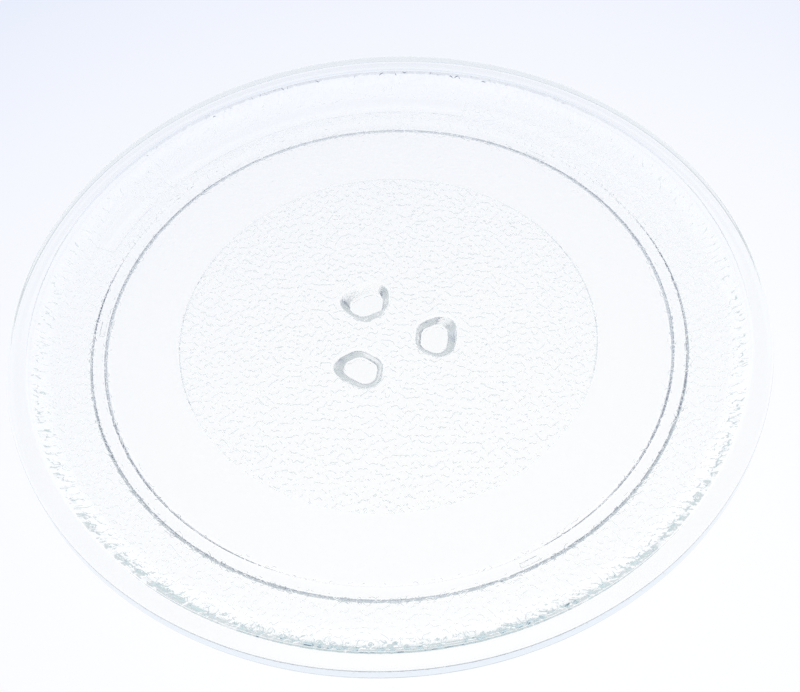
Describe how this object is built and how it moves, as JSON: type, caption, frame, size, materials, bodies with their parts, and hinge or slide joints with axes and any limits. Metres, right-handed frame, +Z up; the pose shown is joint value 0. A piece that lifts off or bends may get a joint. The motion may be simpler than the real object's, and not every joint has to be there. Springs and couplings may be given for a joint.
{
  "type": "microwave turntable plate",
  "caption": "Round clear glass turntable plate with a low lipped rim, a roller track on the underside and raised drive lugs at the centre.",
  "frame": {"origin": "on the plate's axis, in the plane of the drive lugs' feet", "axes": "+Z up along the plate's axis, +X through the middle of one drive lug"},
  "size_m": [0.245, 0.245, 0.0149],
  "materials": {
    "clear_glass": "polished on top, with a fine wrinkled relief on parts of the underside"
  },
  "bodies": {
    "root": {"glass_plate": "clear_glass"}
  },
  "joints": []
}
